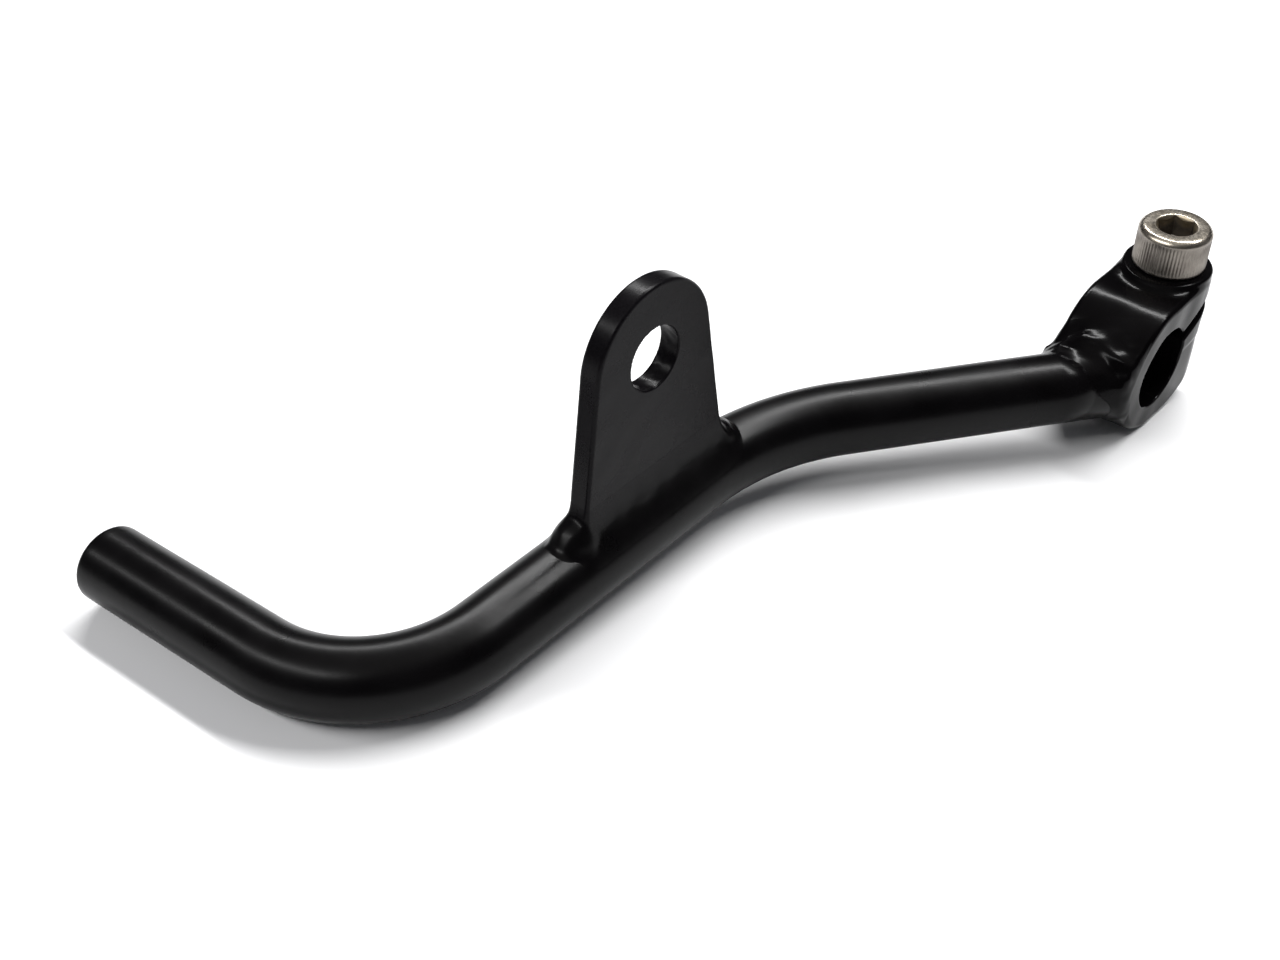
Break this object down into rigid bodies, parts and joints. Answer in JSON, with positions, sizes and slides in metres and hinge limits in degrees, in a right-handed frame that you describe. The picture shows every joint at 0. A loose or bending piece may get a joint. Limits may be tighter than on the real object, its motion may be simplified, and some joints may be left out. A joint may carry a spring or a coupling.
{
  "type": "clamp-on foot lever",
  "caption": "Bent round-bar foot lever with a split clamp hub, a pinch screw and an upright linkage tab with an eye.",
  "frame": {"origin": "centre of the clamp hub's bore, halfway along it", "axes": "+Y along the bore towards the peg's side, +Z along the pinch screw towards its head, and the bar reaches out towards -X"},
  "size_m": [0.1413, 0.0798, 0.0447],
  "materials": {
    "black_paint": "gloss black paint on a steel bar",
    "hub_paint": "thick gloss black paint on a cast or forged hub",
    "tab_paint": "satin black paint on steel plate",
    "weld_paint": "gloss black paint over weld beads",
    "plated_steel": "warm bright nickel or zinc plating"
  },
  "bodies": {
    "frame": {"lever_bar": "black_paint", "clamp_hub": "hub_paint", "linkage_tab": "tab_paint", "hub_weld": "weld_paint", "tab_weld_front": "weld_paint", "tab_weld_rear": "weld_paint", "tab_weld_foot_end": "weld_paint", "tab_weld_hub_end": "weld_paint"},
    "screw": {"pinch_screw": "plated_steel"}
  },
  "joints": [
    {"name": "screw_travel", "type": "slide", "parent": "frame", "child": "screw", "axis": [0, 0, 1], "range_m": [0, 0.0115]}
  ]
}
